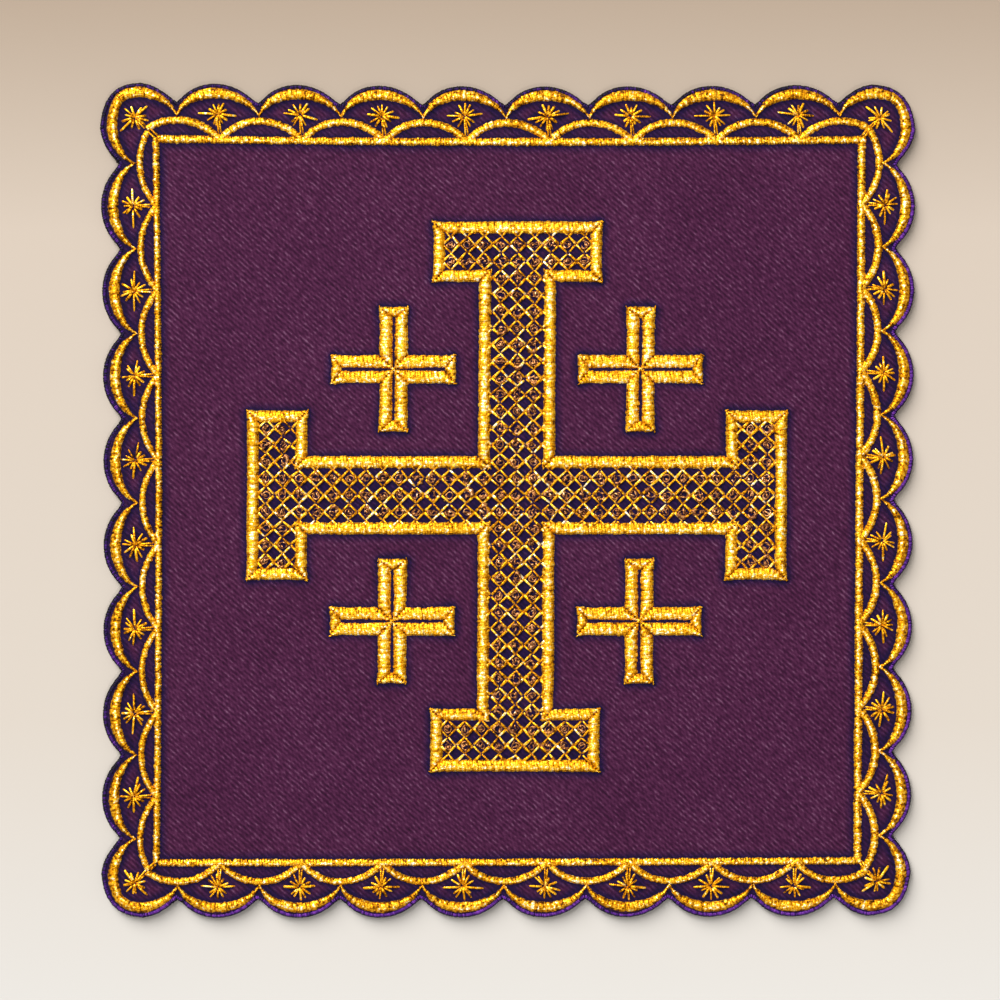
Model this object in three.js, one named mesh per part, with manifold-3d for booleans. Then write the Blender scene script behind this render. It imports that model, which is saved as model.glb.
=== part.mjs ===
// Chalice pall: a stiff flat square of purple twill with a scalloped rim, and gold thread
// embroidery standing on its face. Millimetres. +Z points out of the embroidered face, +Y to the
// head of the cross, and the origin lies under the middle of the cloth.

import * as THREE from "three";
import { mergeVertices } from "three/addons/utils/BufferGeometryUtils.js";
import Module from "manifold-3d";

const wasm = await Module();
wasm.setup();

// Cloth
const WIDTH = 165;
const HEIGHT = 169.2;
const PANEL_THICKNESS = 2;

// Scallops: eight lobes along each side and one on each corner
const SIDE_LOBES = 8;
const PITCH_X = 16.72;
const PITCH_Y = 17.06;
const CORNER_HALF_LOBE = 8; // from the last notch of a side to the middle of the corner lobe
const RIM_DIP = 4.25; // depth of the arcs that would meet in a notch
const NOTCH_TRIM = 0.96; // share of each arc that is cut, which leaves the notch blunt
const RIM_STEPS = 8;
const CORNER_REACH = 3; // points to each side of a corner of the cloth that are moved to round it
const CORNER_ROUNDS = 4;
const CLOSEST_CORNERS = 0.5; // corners of an outline nearer than this are made one
const SAME_POINT = 1e-5; // points of a mesh nearer than this are one

// The stitching has drawn the cloth a little out of true, by these amounts at mid-side
const DRAWN_IN = { top: 0.8, right: 0.1, bottom: -0.1, left: 0.8 };
const DRIFT = { top: -0.8, right: 0, bottom: -1.1, left: -0.5 };
const TOP_SPREAD = 0.35; // the top is wider than the bottom, by this much at each corner
const LEFT_SPREAD = 0.2; // the left side is longer than the right, by this much at each corner
const LEAN = 0.2; // the top leans to the right by this much

// Each side's pattern has slid along it, clockwise, by SLIP at the tops of the lobes and by SKEW
// more for each millimetre further in. The slide fades out towards the corners.
const SLIP = { top: -0.1, right: 0.2, bottom: -0.45, left: -0.3 };
const SKEW = { top: 0.1, right: -0.07, bottom: -0.045, left: 0.035 };
const SLIDE_FADE = 6;

// Crescents, measured inwards from the line through the tops of the lobes
const CRESCENT_INSET = { top: 0.7, right: 0.75, bottom: 0.95, left: 1.35 };
const CRESCENT_WIDTH = 2.4;
const CRESCENT_OUTER_DIP = 4.85;
const CRESCENT_INNER_DIP = 3.1;
const CRESCENT_HEIGHT = 0.6;

// Frame line and its arches: from the tops of the lobes to the middle of the line, and of the
// arch at its top
const FRAME_INSET = { top: 11.35, right: 10.75, bottom: 11.4, left: 11.6 };
const ARCH_INSET = { top: 7.5, right: 7.3, bottom: 7.5, left: 8.2 };
const LINE_WIDTH = 1.6;
const ARCH_STEPS = 6;
const CORNER_BAR = 0.6; // half of the thread bar from the corner arches to the frame's corner
const FRAME_STEPS = 8;
const BORDER_HEIGHT = 0.5;

// Stars
const STAR_INSET = { top: 6.25, right: 6.1, bottom: 6.45, left: 6.75 };
const CORNER_STAR_INSET = 7.2;
const STAR_RAYS = 12;
const LONG_RAY = 4.3;
const SHORT_RAY = 2.6;
const FOOT_RAY = 3.4; // the ray that points to the foot of the arches
const CORNER_FOOT_RAY = 1.9;
const STAR_HUB = 1; // radius at the valleys between the rays
const RAY_UNEVENNESS = 0.1;
const SAME_DIRECTION = 0.01; // one less the cosine between two directions taken as one
const STAR_HEIGHT = 0.4;

// Large cross
const CROSS_PLACE = [2.0, 0.9]; // it sits a little off the middle of the cloth
const CROSS_LEAN = 0.0057; // sideways shift for each unit up
const REACH = [55.45, 54.6, 56, 54.8]; // of the top, left, bottom and right arm
const BAR_DEPTH = [12.3, 12.3, 12.85, 12.45]; // in the same order
const STEM_WIDTH = 15.7;
const BEAM_WIDTH = 15.95;
const BAR_LENGTH = 34.3;
const SATIN_WIDTH = 2.5;
const CROSS_HEIGHT = 0.6;

// Lattice of crossed threads, coarser than the sewn one by LATTICE_COARSENING
const LATTICE_PITCH = 3.38;
const LATTICE_COARSENING = 2;
const LATTICE_THREAD = 0.8;
const LATTICE_CLEARANCE = 0.3; // between the outline and the lattice
const LATTICE_RIM = 0.35; // where the ends of the threads are caught down
const LATTICE_HEIGHT = 0.25;
const CUT_MARGIN = 0.5; // how far the cutting shapes stand out above and below the lattice

// Small crosses
const CROSSLET_PLACE = [25, 25.5]; // from the middle of the large cross
const CROSSLET_SPAN = 25.4;
const CROSSLET_ARM = 5.9;
const SLIT_WIDTH = 0.75;
const SLIT_END = 2.4; // from the end of the slit to the tip of the arm

// Finishes
const TWILL = new THREE.MeshStandardMaterial({ color: 0x502745, roughness: 0.9, metalness: 0 });
const GOLD = new THREE.MeshStandardMaterial({ color: 0xe0a526, roughness: 0.38, metalness: 0.7 });

const half = { x: WIDTH / 2, y: HEIGHT / 2 };

// The four sides, clockwise from the top. `point` takes a distance along the side and one
// inwards from the line through the tops of its lobes.
const SIDES = [
  { name: "top", length: WIDTH, pitch: PITCH_X, point: (a, inset) => [a, half.y - inset] },
  { name: "right", length: HEIGHT, pitch: PITCH_Y, point: (a, inset) => [half.x - inset, -a] },
  { name: "bottom", length: WIDTH, pitch: PITCH_X, point: (a, inset) => [-a, inset - half.y] },
  { name: "left", length: HEIGHT, pitch: PITCH_Y, point: (a, inset) => [inset - half.x, a] },
];

// A place of a side's pattern as a point of the true square, once the pattern has slid.
function place(side, along, inset) {
  const fade = 1 - Math.abs((2 * along) / side.length) ** SLIDE_FADE;
  const slide = fade * (SLIP[side.name] + SKEW[side.name] * inset);
  return side.point(along + slide, inset);
}

// Moves a point of the true square to where the finished cloth holds it.
function settle([x, y]) {
  const u = x / half.x;
  const v = y / half.y;
  const toLeft = (1 - u) / 2;
  const toRight = (1 + u) / 2;
  const toTop = (1 + v) / 2;
  const toBottom = (1 - v) / 2;
  const midHeight = 1 - v * v;
  const midWidth = 1 - u * u;
  const drawX = midHeight * (DRAWN_IN.left * toLeft - DRAWN_IN.right * toRight);
  const drawY = midWidth * (DRAWN_IN.bottom * toBottom - DRAWN_IN.top * toTop);
  const driftX = midWidth * (DRIFT.top * toTop + DRIFT.bottom * toBottom);
  const driftY = midHeight * (DRIFT.left * toLeft + DRIFT.right * toRight);
  const spreadX = (LEAN + TOP_SPREAD * u) * v;
  return [x + drawX + driftX + spreadX, y + drawY + driftY - LEFT_SPREAD * u * v];
}

// Radius of the arc that falls by `dip` over `span` to each side of its top.
function arcRadius(span, dip) {
  return (span * span + dip * dip) / (2 * dip);
}

function arcDrop(radius, offset) {
  return radius - Math.sqrt(radius * radius - offset * offset);
}

// How far from both outer sides of a corner an arc meets the corner's 45 degree line, moved
// `aside` along the side. `centreAlong` is the arc's middle, from the end of its side.
function cornerCrossing(centreAlong, inset, radius, aside = 0) {
  const along = centreAlong - aside;
  const down = inset + radius;
  const sum = along + down;
  const product = along * along + down * down - radius * radius;
  return (sum - Math.sqrt(sum * sum - 2 * product)) / 2;
}

// Points of one arc of a side, from offset `from` to offset `to` about its middle.
function arcPoints(side, centre, inset, radius, from, to, steps) {
  return Array.from({ length: steps + 1 }, (_, i) => {
    const offset = THREE.MathUtils.lerp(from, to, i / steps);
    return settle(place(side, centre + offset, inset + arcDrop(radius, offset)));
  });
}

// A closed line of arcs round the whole cloth. `arcsOf(side)` lists each arc's middle, its inset,
// the spans to its two ends and its dip there. An end with no span runs on to the corner's 45
// degree line.
function garland({ arcsOf, steps, trim = 1, isRounded = true }) {
  const points = [];
  const cornerPoints = [];
  for (const side of SIDES) {
    for (const { centre, inset, before, after, dip } of arcsOf(side)) {
      const radius = arcRadius(before ?? after, dip);
      const fromEnd = side.length / 2 - Math.abs(centre);
      const toCorner = fromEnd - cornerCrossing(fromEnd, inset, radius);
      const from = before ? -before * trim : -toCorner;
      const to = after ? after * trim : toCorner;
      points.push(...arcPoints(side, centre, inset, radius, from, to, steps));
    }
    cornerPoints.push(points.at(-1));
  }
  const outline = points.filter((point, i) => apart(point, points.at(i - 1)));
  return isRounded ? roundCorners(outline, cornerPoints) : outline;
}

// Rounds an outline's corners by moving the points near them towards the middle of their
// neighbours.
function roundCorners(outline, cornerPoints) {
  const isNear = outline.map(() => false);
  for (const corner of cornerPoints) {
    const index = outline.indexOf(corner);
    for (let away = -CORNER_REACH; away <= CORNER_REACH; away += 1) {
      isNear[(index + away + outline.length) % outline.length] = true;
    }
  }
  let points = outline;
  for (let round = 0; round < CORNER_ROUNDS; round += 1) {
    const before = points;
    points = before.map((point, i) => {
      const [ax, ay] = before.at(i - 1);
      const [bx, by] = before[(i + 1) % before.length];
      const [x, y] = point;
      return isNear[i] ? [x / 2 + (ax + bx) / 4, y / 2 + (ay + by) / 4] : point;
    });
  }
  return points;
}

// Whether two points are far enough apart to be two corners of an outline.
function apart([ax, ay], [bx, by]) {
  return Math.hypot(ax - bx, ay - by) > CLOSEST_CORNERS;
}

// Lobes: eight between the notches of a side, and half a corner lobe at each end.
function lobeArcs(insetOf, dip) {
  return (side) => {
    const inset = insetOf(side.name);
    const span = side.pitch / 2;
    const lastNotch = (SIDE_LOBES / 2) * side.pitch;
    const cornerCentre = lastNotch + CORNER_HALF_LOBE;
    const arcs = Array.from({ length: SIDE_LOBES }, (_, i) => ({
      centre: (i + 0.5) * side.pitch - lastNotch,
      inset,
      before: span,
      after: span,
      dip,
    }));
    return [
      { centre: -cornerCentre, inset, before: null, after: CORNER_HALF_LOBE, dip },
      ...arcs,
      { centre: cornerCentre, inset, before: CORNER_HALF_LOBE, after: null, dip },
    ];
  };
}

// Corners as three.js points, in counterclockwise order.
function corners(outline) {
  const points = outline.map(([x, y]) => new THREE.Vector2(x, y));
  return THREE.ShapeUtils.isClockWise(points) ? points.reverse() : points;
}

function solid(name, outline, holes, base, height, material) {
  const shape = new THREE.Shape(corners(outline));
  shape.holes = holes.map((hole) => new THREE.Path(corners(hole)));
  const geometry = new THREE.ExtrudeGeometry(shape, { depth: height, bevelEnabled: false });
  const mesh = new THREE.Mesh(geometry, material);
  mesh.name = name;
  mesh.position.z = base;
  return mesh;
}

// Panel: the scalloped cloth

function panelOutline() {
  return garland({ arcsOf: lobeArcs(() => 0, RIM_DIP), steps: RIM_STEPS, trim: NOTCH_TRIM });
}

function makePanel() {
  return solid("panel", panelOutline(), [], 0, PANEL_THICKNESS, TWILL);
}

// Crescents: two garlands of arcs that come close together at the notches

function makeCrescents() {
  const outerArcs = lobeArcs((name) => CRESCENT_INSET[name], CRESCENT_OUTER_DIP);
  const innerArcs = lobeArcs((name) => CRESCENT_INSET[name] + CRESCENT_WIDTH, CRESCENT_INNER_DIP);
  const outer = garland({ arcsOf: outerArcs, steps: RIM_STEPS });
  const inner = garland({ arcsOf: innerArcs, steps: RIM_STEPS });
  return solid("scallop_crescents", outer, [inner], PANEL_THICKNESS, CRESCENT_HEIGHT, GOLD);
}

// Arch border: the frame line, with an arch on it under each notch of the rim

function archRadius(side) {
  return arcRadius(side.pitch / 2, FRAME_INSET[side.name] - ARCH_INSET[side.name]);
}

function archCentres(side) {
  return Array.from({ length: SIDE_LOBES + 1 }, (_, i) => (i - SIDE_LOBES / 2) * side.pitch);
}

// The arches' outer edge, as arcs about the same centres as their middle line.
function archOuterArcs(side) {
  const span = side.pitch / 2;
  const dip = arcDrop(archRadius(side) + LINE_WIDTH / 2, span);
  return archCentres(side).map((centre, i) => ({
    centre,
    inset: ARCH_INSET[side.name] - LINE_WIDTH / 2,
    before: i === 0 ? null : span,
    after: i === SIDE_LOBES ? null : span,
    dip,
  }));
}

// The bare cloth under one arch. The corner arches stop short of the bar to the frame's corner.
function archOpening(side, centre, index) {
  const radius = archRadius(side) - LINE_WIDTH / 2;
  const top = ARCH_INSET[side.name] + LINE_WIDTH / 2;
  const lineOuter = FRAME_INSET[side.name] - LINE_WIDTH / 2;
  const foot = Math.sqrt(radius ** 2 - (top + radius - lineOuter) ** 2);
  if (index > 0 && index < SIDE_LOBES) {
    return arcPoints(side, centre, top, radius, -foot, foot, ARCH_STEPS);
  }
  const fromEnd = side.length / 2 - Math.abs(centre);
  const crossing = cornerCrossing(fromEnd, top, radius, CORNER_BAR);
  const toBar = fromEnd - crossing - CORNER_BAR;
  const outwards = Math.sign(centre);
  const arc = arcPoints(side, centre, top, radius, -outwards * foot, outwards * toBar, ARCH_STEPS);
  const barFoot = side.length / 2 - lineOuter - CORNER_BAR;
  return [...arc, settle(place(side, outwards * barFoot, lineOuter))];
}

// The bare cloth inside the frame line.
function frameOpening() {
  return SIDES.flatMap((side, index) => {
    const insetOf = (i) => FRAME_INSET[SIDES.at(i % SIDES.length).name] + LINE_WIDTH / 2;
    const from = insetOf(index - 1) - side.length / 2;
    const to = side.length / 2 - insetOf(index + 1);
    return Array.from({ length: FRAME_STEPS }, (_, i) => {
      const along = THREE.MathUtils.lerp(from, to, i / FRAME_STEPS);
      return settle(place(side, along, insetOf(index)));
    });
  });
}

function makeArchBorder() {
  const outer = garland({ arcsOf: archOuterArcs, steps: ARCH_STEPS, isRounded: false });
  const archHoles = SIDES.flatMap((side) => archCentres(side).map((c, i) => archOpening(side, c, i)));
  const holes = [...archHoles, frameOpening()];
  return solid("arch_border", outer, holes, PANEL_THICKNESS, BORDER_HEIGHT, GOLD);
}

// Stars

// A repeatable value between -1 and 1 for each ray, so that no two stars are quite alike.
function uneven(seed) {
  const wave = Math.sin(seed * 12.9898) * 43758.5453;
  return 2 * (wave - Math.floor(wave)) - 1;
}

// A star about a place of the true square. `along` is the direction of its longest rays, and
// `toFoot` that of the ray of length `footRay` that reaches for the arches' foot.
function makeStar(number, [x, y], along, toFoot, footRay) {
  const outline = [];
  for (let ray = 0; ray < STAR_RAYS; ray += 1) {
    const turn = (ray / STAR_RAYS) * 2 * Math.PI;
    const isLong = ray % (STAR_RAYS / 2) === 0;
    const pointsToFoot = 1 - Math.cos(along + turn - toFoot) < SAME_DIRECTION;
    const standard = isLong ? LONG_RAY : SHORT_RAY;
    const varied = standard * (1 + RAY_UNEVENNESS * uneven(number * STAR_RAYS + ray));
    const length = pointsToFoot ? footRay : Math.min(varied, standard);
    const tip = along + turn;
    const valley = tip + Math.PI / STAR_RAYS;
    outline.push(settle([x + length * Math.cos(tip), y + length * Math.sin(tip)]));
    outline.push(settle([x + STAR_HUB * Math.cos(valley), y + STAR_HUB * Math.sin(valley)]));
  }
  return solid(`star_${number}`, outline, [], PANEL_THICKNESS, STAR_HEIGHT, GOLD);
}

function makeStars() {
  const stars = [];
  SIDES.forEach((side, sideIndex) => {
    const along = (-sideIndex * Math.PI) / 2;
    const inwards = along - Math.PI / 2;
    const cornerPlace = place(side, CORNER_STAR_INSET - side.length / 2, CORNER_STAR_INSET);
    const diagonal = along - Math.PI / 4;
    const across = diagonal + Math.PI / 2;
    stars.push(makeStar(stars.length + 1, cornerPlace, across, diagonal, CORNER_FOOT_RAY));
    for (let i = 0; i < SIDE_LOBES; i += 1) {
      const centre = (i + 0.5 - SIDE_LOBES / 2) * side.pitch;
      const middle = place(side, centre, STAR_INSET[side.name]);
      stars.push(makeStar(stars.length + 1, middle, along, inwards, FOOT_RAY));
    }
  });
  return stars;
}

// Large cross: a cross potent, whose four arms end in bars

function leanOver([x, y]) {
  return [x + CROSS_PLACE[0] + CROSS_LEAN * y, y + CROSS_PLACE[1]];
}

// Outline of the cross, drawn `inset` inside its outer edge.
function crossPotent(inset) {
  const bar = BAR_LENGTH / 2 - inset;
  return [0, 1, 2, 3].flatMap((quarter) => {
    const isStem = quarter % 2 === 0;
    const arm = (isStem ? STEM_WIDTH : BEAM_WIDTH) / 2 - inset;
    const otherArm = (isStem ? BEAM_WIDTH : STEM_WIDTH) / 2 - inset;
    const reach = REACH[quarter] - inset;
    const barFoot = reach - (BAR_DEPTH[quarter] - 2 * inset);
    const rightHalf = [[arm, otherArm], [arm, barFoot], [bar, barFoot], [bar, reach]];
    const leftHalf = [[-bar, reach], [-bar, barFoot], [-arm, barFoot]];
    return [...rightHalf, ...leftHalf].map((corner) => quarterTurned(corner, quarter));
  });
}

function quarterTurned([x, y], quarter) {
  const turns = [[x, y], [-y, x], [-x, -y], [y, -x]];
  return turns[quarter];
}

function makeCrossOutline() {
  const outer = crossPotent(0).map(leanOver);
  const inner = crossPotent(SATIN_WIDTH).map(leanOver);
  return solid("cross_outline", outer, [inner], PANEL_THICKNESS, CROSS_HEIGHT, GOLD);
}

// Lattice: a thin sheet inside the outline with its diamonds cut through

function toManifold(geometry) {
  const bare = geometry.clone();
  bare.deleteAttribute("normal");
  bare.deleteAttribute("uv");
  const merged = mergeVertices(bare, SAME_POINT);
  const vertProperties = new Float32Array(merged.attributes.position.array);
  const triVerts = new Uint32Array(merged.index.array);
  return new wasm.Manifold(new wasm.Mesh({ numProp: 3, vertProperties, triVerts }));
}

function toGeometry(manifold) {
  const { vertProperties, triVerts } = manifold.getMesh();
  const geometry = new THREE.BufferGeometry();
  geometry.setAttribute("position", new THREE.BufferAttribute(vertProperties, 3));
  geometry.setIndex(new THREE.BufferAttribute(triVerts, 1));
  geometry.computeVertexNormals();
  return geometry;
}

function prism(outlines, depth, base = 0) {
  const shapes = outlines.map((outline) => new THREE.Shape(corners(outline)));
  const geometry = new THREE.ExtrudeGeometry(shapes, { depth, bevelEnabled: false });
  return toManifold(geometry.translate(0, 0, base));
}

// Diamonds between the threads, in two sets: one round each crossing point of the grid, and one
// half a pitch up and across.
function latticeDiamonds() {
  const pitch = LATTICE_PITCH * LATTICE_COARSENING;
  const reach = pitch / 2 - (LATTICE_THREAD / 2) * Math.SQRT2;
  const steps = Math.ceil(Math.max(...REACH) / pitch);
  const diamonds = [];
  for (let i = -steps; i <= steps; i += 1) {
    for (let j = -steps; j <= steps; j += 1) {
      for (const shift of [0, pitch / 2]) {
        const x = i * pitch + shift;
        const y = j * pitch + shift;
        diamonds.push([[x + reach, y], [x, y + reach], [x - reach, y], [x, y - reach]]);
      }
    }
  }
  return diamonds;
}

function makeLattice() {
  const sheetEdge = SATIN_WIDTH + LATTICE_CLEARANCE;
  const sheet = prism([crossPotent(sheetEdge)], LATTICE_HEIGHT);
  const cutHeight = LATTICE_HEIGHT + 2 * CUT_MARGIN;
  const within = prism([crossPotent(sheetEdge + LATTICE_RIM)], cutHeight, -CUT_MARGIN);
  const openings = prism(latticeDiamonds(), cutHeight, -CUT_MARGIN).intersect(within);
  const geometry = toGeometry(sheet.subtract(openings));
  const position = geometry.attributes.position;
  for (let i = 0; i < position.count; i += 1) {
    position.setXY(i, ...leanOver([position.getX(i), position.getY(i)]));
  }
  const mesh = new THREE.Mesh(geometry, GOLD);
  mesh.name = "cross_lattice";
  mesh.position.z = PANEL_THICKNESS;
  return mesh;
}

// Small crosses

function greekCross(span, arm) {
  const tip = span / 2;
  const side = arm / 2;
  return [0, 1, 2, 3].flatMap((quarter) =>
    [[side, side], [side, tip], [-side, tip]].map((corner) => quarterTurned(corner, quarter)),
  );
}

function makeCrosslets() {
  const [dx, dy] = CROSSLET_PLACE;
  const places = {
    crosslet_top_left: [-dx, dy],
    crosslet_top_right: [dx, dy],
    crosslet_bottom_left: [-dx, -dy],
    crosslet_bottom_right: [dx, -dy],
  };
  return Object.entries(places).map(([name, [x, y]]) => {
    const put = (corner) => leanOver([corner[0] + x, corner[1] + y]);
    const outer = greekCross(CROSSLET_SPAN, CROSSLET_ARM).map(put);
    const slit = greekCross(CROSSLET_SPAN - 2 * SLIT_END, SLIT_WIDTH).map(put);
    return solid(name, outer, [slit], PANEL_THICKNESS, CROSS_HEIGHT, GOLD);
  });
}

// The whole pall, moved so that its origin lies under the middle of its box
const pall = new THREE.Group();
pall.add(makePanel(), makeCrescents(), makeArchBorder(), ...makeStars());
pall.add(makeCrossOutline(), makeLattice(), ...makeCrosslets());

const rim = new THREE.Box2().setFromPoints(corners(panelOutline()));
const middle = rim.getCenter(new THREE.Vector2());
pall.position.set(-middle.x, -middle.y, 0);

export default pall;
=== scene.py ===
# %% [markdown]
# # A purple chalice pall, embroidered in gold
#
# A pall is the stiff square of cloth that is laid over a chalice. This one is cut from purple
# twill with a scalloped rim. Gold thread is sewn on its face: crescents along the scallops, a
# frame line with arches standing on it, a small star in each scallop, and a large cross with a
# net of crossed threads inside, between four small crosses.
#
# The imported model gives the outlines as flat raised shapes. Here each shape is sewn again, stitch
# by stitch, so that light catches every thread. One thread is modelled by hand and then laid
# thousands of times along the same outlines.

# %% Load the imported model
import math

import bpy
import bmesh
import numpy as np
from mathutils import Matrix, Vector, noise


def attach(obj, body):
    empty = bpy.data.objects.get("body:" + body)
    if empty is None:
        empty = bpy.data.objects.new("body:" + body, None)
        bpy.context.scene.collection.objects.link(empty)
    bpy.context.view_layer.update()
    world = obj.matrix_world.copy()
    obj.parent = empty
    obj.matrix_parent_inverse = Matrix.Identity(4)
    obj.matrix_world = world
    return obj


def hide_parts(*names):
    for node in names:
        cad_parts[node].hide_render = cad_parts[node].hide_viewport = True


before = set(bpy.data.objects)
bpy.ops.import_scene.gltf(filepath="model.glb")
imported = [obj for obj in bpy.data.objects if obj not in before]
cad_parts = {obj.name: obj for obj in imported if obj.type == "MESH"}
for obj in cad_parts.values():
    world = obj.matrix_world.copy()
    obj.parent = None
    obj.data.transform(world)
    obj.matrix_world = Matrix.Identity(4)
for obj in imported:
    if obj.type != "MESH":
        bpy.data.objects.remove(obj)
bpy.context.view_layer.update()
print("packed nodes:", len(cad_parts))

# %% [markdown]
# ## The square that everything is measured on
#
# The pattern was drawn on a true square and then sewn, and the stitching drew the cloth a little
# out of shape. So every place is given first as a distance along a side and a distance inwards
# from the tops of the scallops, and `settle` moves it to where the finished cloth holds it.
# All these sizes are in millimetres, and only the finished meshes are in metres.

# %% Sizes of the cloth and its scallops
MM = 0.001
WIDTH, HEIGHT = 165.0, 169.2
FACE = 2.0  # height of the cloth's face above the table
SIDES = ("top", "right", "bottom", "left")
LOBES = 8
PITCH = {"top": 16.72, "right": 17.06, "bottom": 16.72, "left": 17.06}
CORNER_HALF_LOBE = 8.0
RIM_DIP = 4.25
NOTCH_TRIM = 0.96

DRAWN_IN = {"top": 0.8, "right": 0.1, "bottom": -0.1, "left": 0.8}
DRIFT = {"top": -0.8, "right": 0.0, "bottom": -1.1, "left": -0.5}
TOP_SPREAD, LEFT_SPREAD, LEAN = 0.35, 0.2, 0.2
SLIP = {"top": -0.1, "right": 0.2, "bottom": -0.45, "left": -0.3}
SKEW = {"top": 0.1, "right": -0.07, "bottom": -0.045, "left": 0.035}
SLIDE_FADE = 6


def settle(points):
    """Moves points of the true square to where the sewn cloth holds them."""
    x, y = points[..., 0], points[..., 1]
    u, v = 2 * x / WIDTH, 2 * y / HEIGHT
    mid_height, mid_width = 1 - v * v, 1 - u * u
    draw_x = mid_height * (DRAWN_IN["left"] * (1 - u) - DRAWN_IN["right"] * (1 + u)) / 2
    draw_y = mid_width * (DRAWN_IN["bottom"] * (1 - v) - DRAWN_IN["top"] * (1 + v)) / 2
    drift_x = mid_width * (DRIFT["top"] * (1 + v) + DRIFT["bottom"] * (1 - v)) / 2
    drift_y = mid_height * (DRIFT["left"] * (1 - u) + DRIFT["right"] * (1 + u)) / 2
    moved_x = x + draw_x + drift_x + (LEAN + TOP_SPREAD * u) * v
    moved_y = y + draw_y + drift_y - LEFT_SPREAD * u * v
    return np.stack([moved_x, moved_y], axis=-1)


def side_length(side):
    return WIDTH if side in ("top", "bottom") else HEIGHT


def lobe_middles(side):
    """Distances along a side of its scallops' tops."""
    return (np.arange(LOBES) + 0.5 - LOBES / 2) * PITCH[side]


def on_side(side, along, inset):
    """Points at distances `along` a side, clockwise, and `inset` from the scallops' tops.

    The pattern has slid along the side, more so further in, and not at the corners.
    """
    along, inset = np.broadcast_arrays(np.asarray(along, float), np.asarray(inset, float))
    fade = 1 - np.abs(2 * along / side_length(side)) ** SLIDE_FADE
    along = along + fade * (SLIP[side] + SKEW[side] * inset)
    if side == "top":
        square = (along, HEIGHT / 2 - inset)
    elif side == "right":
        square = (WIDTH / 2 - inset, -along)
    elif side == "bottom":
        square = (-along, inset - HEIGHT / 2)
    else:
        square = (inset - WIDTH / 2, along)
    return settle(np.stack(square, axis=-1))


# %% Lines and arcs
def unit(vectors):
    return vectors / np.linalg.norm(vectors, axis=-1, keepdims=True)


def right_of(vectors):
    """Directions turned a quarter to the right."""
    return np.stack([vectors[..., 1], -vectors[..., 0]], axis=-1)


def distances(line):
    """How far along a line each of its points lies."""
    steps = np.linalg.norm(np.diff(line, axis=0), axis=1)
    return np.concatenate([[0], np.cumsum(steps)])


def arc_radius(span, dip):
    """Radius of the arc that falls by `dip` over `span` to each side of its top."""
    return (span**2 + dip**2) / (2 * dip)


def arc_drop(radius, offset):
    return radius - np.sqrt(radius**2 - offset**2)


def corner_crossing(centre_along, inset, radius):
    """How far from both sides of a corner an arc meets the corner's 45 degree line."""
    total = centre_along + inset + radius
    product = centre_along**2 + (inset + radius) ** 2 - radius**2
    return (total - math.sqrt(total**2 - 2 * product)) / 2


def corner_offset(side, centre, inset, radius):
    """Offset along the side at which an arc about `centre` reaches the corner's diagonal."""
    from_end = side_length(side) / 2 - abs(centre)
    return from_end - corner_crossing(from_end, inset, radius)


# %% [markdown]
# ## The rim of the cloth
#
# Each side has eight equal scallops, and half a corner scallop at each end. Sixteen points to a
# scallop keep the curve smooth. The notches are blunt, because the rim is oversewn, and the four
# corners are a little rounded.

# %% Rim points, and the middle of the cloth
HALF_STEPS = 8  # points from the top of a scallop to its notch


def rim_of_side(side, inset, dip):
    """Rim points of one side, from its first corner up to the last point before the next."""
    span = PITCH[side] / 2
    half_corner = LOBES / 2 * PITCH[side] + CORNER_HALF_LOBE
    radius = arc_radius(CORNER_HALF_LOBE, dip)
    reach = corner_offset(side, half_corner, inset, radius)
    corner_steps = np.linspace(-reach, CORNER_HALF_LOBE, HALF_STEPS + 1)[:-1]
    points = [on_side(side, corner_steps - half_corner, inset + arc_drop(radius, corner_steps))]
    radius = arc_radius(span, dip)
    steps = np.linspace(-span, span, 2 * HALF_STEPS + 1)[:-1]
    trimmed = np.clip(np.abs(steps), 0, NOTCH_TRIM * span)
    for centre in lobe_middles(side):
        points.append(on_side(side, centre + steps, inset + arc_drop(radius, trimmed)))
    radius = arc_radius(CORNER_HALF_LOBE, dip)
    corner_steps = np.linspace(-CORNER_HALF_LOBE, reach, HALF_STEPS + 1)[:-1]
    trimmed = np.clip(np.abs(corner_steps), 0, NOTCH_TRIM * CORNER_HALF_LOBE)
    points.append(on_side(side, half_corner + corner_steps, inset + arc_drop(radius, trimmed)))
    return np.concatenate(points)


CORNER_REACH = 3  # points to each side of a corner that are moved to round it
CORNER_ROUNDS = 4


def rounded(points, corner_numbers, reach, rounds):
    """Rounds corners by moving the points near them towards the middle of their neighbours."""
    points = points.copy()
    near = np.array(corner_numbers)[:, None] + np.arange(-reach, reach + 1)
    near = np.unique(near % len(points))
    for _ in range(rounds):
        between = (np.roll(points, 1, axis=0) + np.roll(points, -1, axis=0)) / 2
        points[near] = (points[near] + between[near]) / 2
    return points


def whole_rim(inset):
    sides = [rim_of_side(side, inset, RIM_DIP) for side in SIDES]
    starts = np.cumsum([0] + [len(side) for side in sides[:-1]])
    return rounded(np.concatenate(sides), starts, CORNER_REACH, CORNER_ROUNDS)


rim = whole_rim(0.0)
MIDDLE = (rim.min(axis=0) + rim.max(axis=0)) / 2
print("rim points:", len(rim), "size mm:", np.ptp(rim, axis=0).round(2))

# %% [markdown]
# ## Helpers for modelling and for materials
#
# An operator works on everything that is selected, and the imported nodes are selected after
# loading, so each new piece starts with nothing selected. A finished piece rides on the cloth's
# body and takes its material.

# %% Modelling helpers
def start_fresh():
    bpy.ops.object.select_all(action="DESELECT")


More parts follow.
